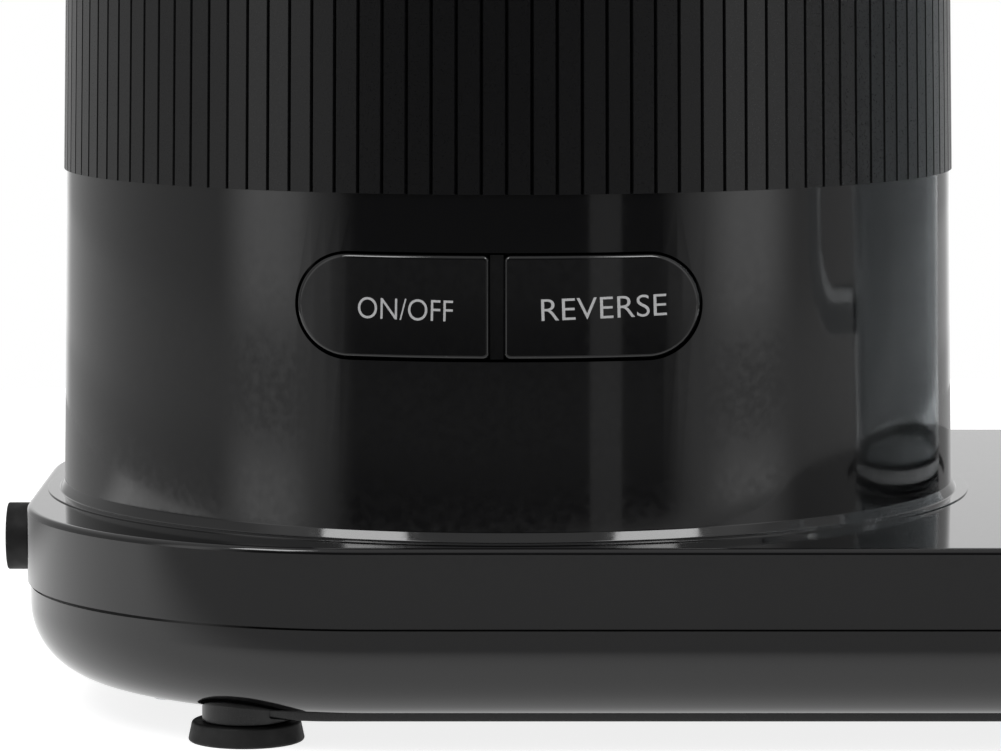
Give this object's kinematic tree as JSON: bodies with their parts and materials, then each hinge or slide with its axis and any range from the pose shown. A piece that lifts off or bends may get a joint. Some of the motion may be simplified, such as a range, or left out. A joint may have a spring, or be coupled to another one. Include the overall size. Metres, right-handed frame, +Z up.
{
  "type": "cold press juicer",
  "caption": "Vertical slow juicer with a round motor tower on a long base, push buttons, geared drive, bowl with auger and strainer, feed chute, pusher and juice jug.",
  "frame": {"origin": "On the table under the middle of the whole machine's box.", "axes": "+X along the base towards the jug, +Y away from the push buttons, +Z up the tower."},
  "size_m": [0.274, 0.163, 0.376],
  "materials": {
    "gloss_black": "piano black ABS, polished mould",
    "matte_black": "fine satin black ABS",
    "black_rubber": "soft rubber",
    "clear_plastic": "clear copolyester",
    "smoke_plastic": "dark grey food-grade plastic",
    "silicone": "grey silicone",
    "stainless": "brushed stainless steel",
    "steel": "ground steel",
    "cast_alloy": "die-cast alloy",
    "lamination": "oiled electrical steel",
    "copper": "enamelled copper wire",
    "gear_plastic": "natural acetal",
    "board_green": "solder-masked circuit board",
    "component_dark": "moulded component cases"
  },
  "bodies": {
    "motor_base": {"main_housing": "gloss_black", "base_tray": "gloss_black", "bottom_plate": "matte_black", "rubber_feet": "black_rubber", "bottom_screws": "steel", "cord_gland": "black_rubber", "ribbed_sleeve": "matte_black", "switch_bodies": "component_dark", "switch_board": "board_green", "button_carrier": "matte_black", "control_board": "board_green", "board_components": "component_dark", "motor_bell_lower": "cast_alloy", "motor_bell_upper": "cast_alloy", "motor_stator": "lamination", "motor_windings": "copper", "motor_bearings": "steel", "motor_bolts": "steel", "gear_pins": "steel", "gearbox_plate": "cast_alloy", "gearbox_cover": "cast_alloy", "gearbox_screws": "steel", "output_bearings": "steel", "top_cover": "gloss_black", "cover_screws": "steel", "shaft_seal": "black_rubber"},
    "on_off_button": {"on_off_button": "gloss_black"},
    "reverse_button": {"reverse_button": "gloss_black"},
    "rotor": {"rotor_core": "lamination", "rotor_shaft": "steel", "cooling_fan": "matte_black"},
    "first_countershaft": {"first_reduction_gear": "gear_plastic"},
    "second_countershaft": {"second_reduction_gear": "gear_plastic"},
    "output_drive": {"output_gear": "gear_plastic", "output_shaft": "stainless"},
    "bowl": {"bowl": "clear_plastic", "bowl_floor": "clear_plastic", "pulp_duct": "clear_plastic", "juice_spout": "clear_plastic", "bowl_seal": "silicone", "rim_gasket": "silicone", "cap_hinge_pin": "stainless", "strainer_screen": "stainless", "strainer_frame": "smoke_plastic"},
    "auger": {"auger": "smoke_plastic", "auger_drive_sleeve": "stainless"},
    "lid": {"hopper_lid": "clear_plastic", "feed_chute": "clear_plastic", "feed_tray": "gloss_black"},
    "pusher": {"pusher": "gloss_black", "pusher_knob": "matte_black"},
    "juice_cap": {"juice_cap": "gloss_black", "juice_cap_seal": "silicone"},
    "jug": {"juice_jug": "clear_plastic"}
  },
  "joints": [
    {"name": "on_off_press", "type": "slide", "parent": "motor_base", "child": "on_off_button", "axis": [0.0227, 0.9997, 0], "range_m": [0, 0.0015], "stiffness_N_per_m": 400, "springref_m": -0.001},
    {"name": "reverse_press", "type": "slide", "parent": "motor_base", "child": "reverse_button", "axis": [0.0227, 0.9997, 0], "range_m": [0, 0.0015], "stiffness_N_per_m": 400, "springref_m": -0.001},
    {"name": "rotor_spin", "type": "hinge", "parent": "motor_base", "child": "rotor", "pos_m": [-0.043, 0, 0.06], "axis": [0, 0, 1], "continuous": true},
    {"name": "first_gear_spin", "type": "hinge", "parent": "motor_base", "child": "first_countershaft", "pos_m": [-0.02551, 0.01964, 0.11], "axis": [0, 0, 1], "continuous": true},
    {"name": "second_gear_spin", "type": "hinge", "parent": "motor_base", "child": "second_countershaft", "pos_m": [-0.043, 0.03971, 0.12], "axis": [0, 0, 1], "continuous": true},
    {"name": "output_spin", "type": "hinge", "parent": "motor_base", "child": "output_drive", "pos_m": [-0.043, 0, 0.15], "axis": [0, 0, 1], "continuous": true},
    {"name": "bowl_lift", "type": "slide", "parent": "motor_base", "child": "bowl", "axis": [0, 0, 1], "range_m": [0, 0.06]},
    {"name": "auger_spin", "type": "hinge", "parent": "bowl", "child": "auger", "pos_m": [-0.043, 0, 0.2], "axis": [0, 0, 1], "continuous": true},
    {"name": "lid_lift", "type": "slide", "parent": "bowl", "child": "lid", "axis": [0, 0, 1], "range_m": [0, 0.05]},
    {"name": "pusher_lift", "type": "slide", "parent": "lid", "child": "pusher", "axis": [0, 0, 1], "range_m": [0, 0.075]},
    {"name": "juice_cap_flip", "type": "hinge", "parent": "bowl", "child": "juice_cap", "pos_m": [0.0595, 0, 0.202], "axis": [0, -1, 0], "range_deg": [0, 110]},
    {"name": "jug_draw", "type": "slide", "parent": "motor_base", "child": "jug", "axis": [0.9877, 0, 0.1564], "range_m": [0, 0.1]}
  ],
  "couplings": [
    {"joint": "first_gear_spin", "follows": "rotor_spin", "ratio": -0.3},
    {"joint": "second_gear_spin", "follows": "rotor_spin", "ratio": 0.12},
    {"joint": "output_spin", "follows": "rotor_spin", "ratio": -0.047143},
    {"joint": "auger_spin", "follows": "rotor_spin", "ratio": -0.047143}
  ]
}
